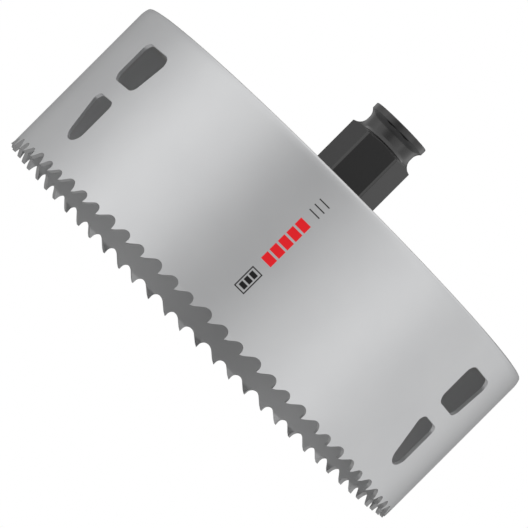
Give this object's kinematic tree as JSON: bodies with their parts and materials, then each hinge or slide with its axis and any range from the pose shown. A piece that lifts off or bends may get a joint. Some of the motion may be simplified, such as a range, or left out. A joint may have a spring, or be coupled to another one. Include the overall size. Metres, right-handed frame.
{
  "type": "hole saw",
  "caption": "Wide shallow hole saw cup with a saw-toothed rim, paired chip slots in its wall and a short black hexagon quick-change adapter on its back.",
  "frame": {"origin": "centre of the circle of tooth tips, in the plane that the tips stand on", "axes": "+Z along the axis of rotation, from the tooth tips to the adapter; -Y towards the side of the wall that is midway between two slot pairs; the saw cuts turning clockwise seen from +Z"},
  "size_m": [0.1522, 0.1523, 0.0835],
  "materials": {
    "strip_steel": "satin zinc-coloured steel with a fine rolled grain round the cup",
    "plate_steel": "turned steel with a plain satin coat",
    "black_oxide": "satin black oxide on turned steel"
  },
  "bodies": {
    "root": {"toothed_band": "strip_steel", "back_plate": "plate_steel", "adapter": "black_oxide"}
  },
  "joints": []
}
